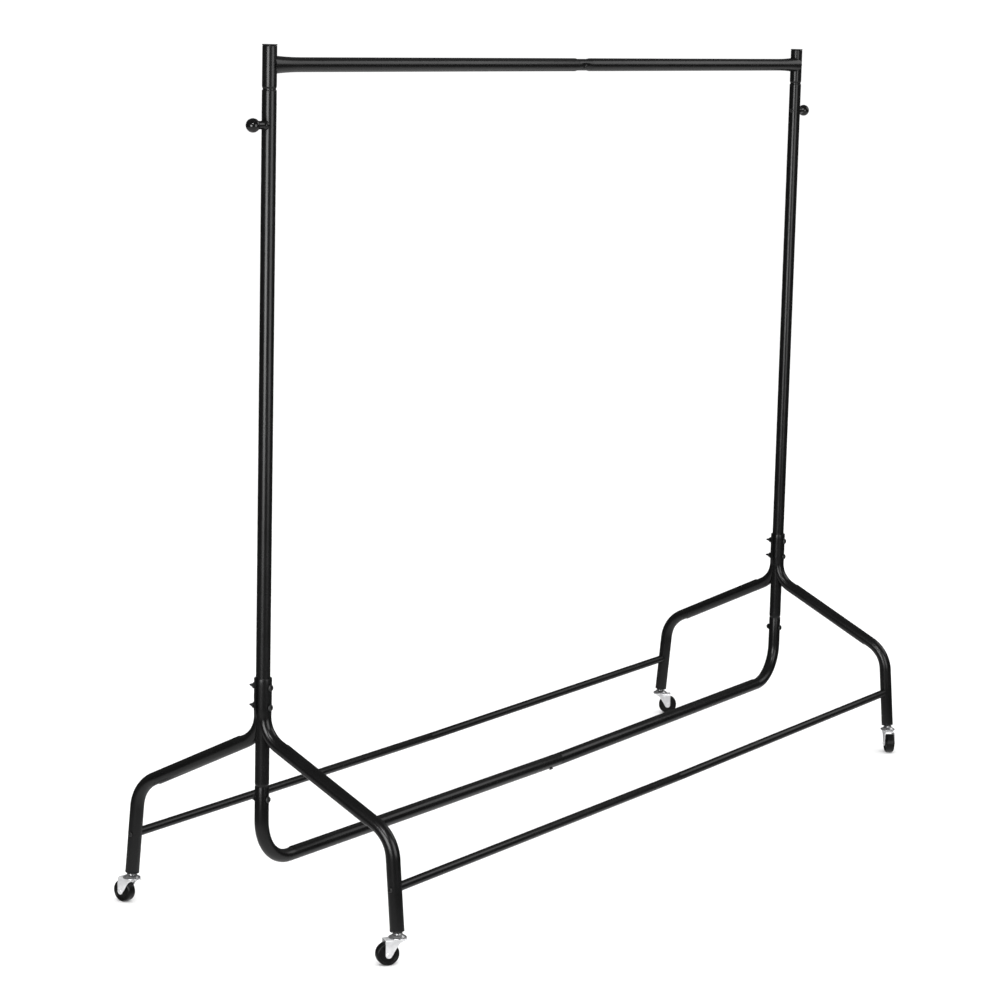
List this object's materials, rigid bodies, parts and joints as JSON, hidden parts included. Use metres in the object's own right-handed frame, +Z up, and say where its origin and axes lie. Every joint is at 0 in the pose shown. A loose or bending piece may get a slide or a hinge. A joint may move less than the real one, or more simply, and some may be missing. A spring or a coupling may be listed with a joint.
{
  "type": "garment rack",
  "caption": "Straight garment rack in black tube: a high hanging rail on two posts, splayed legs, low shoe rods and swivel casters.",
  "frame": {"origin": "on the floor, at the centre of the rack's footprint", "axes": "+X along the hanging rail towards the right post, -Y is the front, +Z up"},
  "size_m": [2.017, 0.652, 1.5381],
  "materials": {
    "frame_paint": "satin black powder coat",
    "black_steel": "black zinc plated fasteners",
    "cap_plastic": "moulded black plastic",
    "knob_gloss": "polished black plastic",
    "zinc_plate": "bright zinc plate",
    "wheel_plastic": "hard black plastic"
  },
  "bodies": {
    "root": {"top_rail_left": "frame_paint", "top_rail_right": "frame_paint", "top_rail_screw": "black_steel", "bottom_rail_left": "frame_paint", "bottom_rail_right": "frame_paint", "bottom_rail_screw": "black_steel", "tee_post_left": "frame_paint", "post_cap_left": "cap_plastic", "upright_left": "frame_paint", "ball_knob_left": "knob_gloss", "knob_screw_left": "black_steel", "clamp_bolt_left_upper": "black_steel", "clamp_nut_left_upper": "black_steel", "clamp_bolt_left_lower": "black_steel", "clamp_nut_left_lower": "black_steel", "foot_bolt_left": "black_steel", "foot_nut_left": "black_steel", "tee_post_right": "frame_paint", "post_cap_right": "cap_plastic", "upright_right": "frame_paint", "ball_knob_right": "knob_gloss", "knob_screw_right": "black_steel", "clamp_bolt_right_upper": "black_steel", "clamp_nut_right_upper": "black_steel", "clamp_bolt_right_lower": "black_steel", "clamp_nut_right_lower": "black_steel", "foot_bolt_right": "black_steel", "foot_nut_right": "black_steel", "leg_left_front": "frame_paint", "caster_socket_left_front": "cap_plastic", "rod_screw_left_front": "black_steel", "caster_stem_left_front": "zinc_plate", "leg_left_rear": "frame_paint", "caster_socket_left_rear": "cap_plastic", "rod_screw_left_rear": "black_steel", "caster_stem_left_rear": "zinc_plate", "leg_right_front": "frame_paint", "caster_socket_right_front": "cap_plastic", "rod_screw_right_front": "black_steel", "caster_stem_right_front": "zinc_plate", "leg_right_rear": "frame_paint", "caster_socket_right_rear": "cap_plastic", "rod_screw_right_rear": "black_steel", "caster_stem_right_rear": "zinc_plate", "front_rod_left": "frame_paint", "front_rod_right": "frame_paint", "rear_rod_left": "frame_paint", "rear_rod_right": "frame_paint"},
    "caster_left_front": {"caster_fork_left_front": "zinc_plate", "caster_axle_left_front": "zinc_plate"},
    "wheel_left_front": {"caster_wheel_left_front": "wheel_plastic"},
    "caster_left_rear": {"caster_fork_left_rear": "zinc_plate", "caster_axle_left_rear": "zinc_plate"},
    "wheel_left_rear": {"caster_wheel_left_rear": "wheel_plastic"},
    "caster_right_front": {"caster_fork_right_front": "zinc_plate", "caster_axle_right_front": "zinc_plate"},
    "wheel_right_front": {"caster_wheel_right_front": "wheel_plastic"},
    "caster_right_rear": {"caster_fork_right_rear": "zinc_plate", "caster_axle_right_rear": "zinc_plate"},
    "wheel_right_rear": {"caster_wheel_right_rear": "wheel_plastic"}
  },
  "joints": [
    {"name": "swivel_left_front", "type": "hinge", "parent": "root", "child": "caster_left_front", "pos_m": [-0.9525, -0.292, 0.045], "axis": [0, 0, 1], "continuous": true},
    {"name": "spin_left_front", "type": "hinge", "parent": "caster_left_front", "child": "wheel_left_front", "pos_m": [-0.96668, -0.28092, 0.02], "axis": [-0.6157, -0.788, 0], "continuous": true},
    {"name": "swivel_left_rear", "type": "hinge", "parent": "root", "child": "caster_left_rear", "pos_m": [-0.9525, 0.292, 0.045], "axis": [0, 0, 1], "continuous": true},
    {"name": "spin_left_rear", "type": "hinge", "parent": "caster_left_rear", "child": "wheel_left_rear", "pos_m": [-0.95093, 0.30993, 0.02], "axis": [-0.9962, 0.0872, 0], "continuous": true},
    {"name": "swivel_right_front", "type": "hinge", "parent": "root", "child": "caster_right_front", "pos_m": [0.9525, -0.292, 0.045], "axis": [0, 0, 1], "continuous": true},
    {"name": "spin_right_front", "type": "hinge", "parent": "caster_right_front", "child": "wheel_right_front", "pos_m": [0.93851, -0.30333, 0.02], "axis": [0.6293, -0.7771, 0], "continuous": true},
    {"name": "swivel_right_rear", "type": "hinge", "parent": "root", "child": "caster_right_rear", "pos_m": [0.9525, 0.292, 0.045], "axis": [0, 0, 1], "continuous": true},
    {"name": "spin_right_rear", "type": "hinge", "parent": "caster_right_rear", "child": "wheel_right_rear", "pos_m": [0.9615, 0.27641, 0.02], "axis": [0.866, 0.5, 0], "continuous": true}
  ]
}
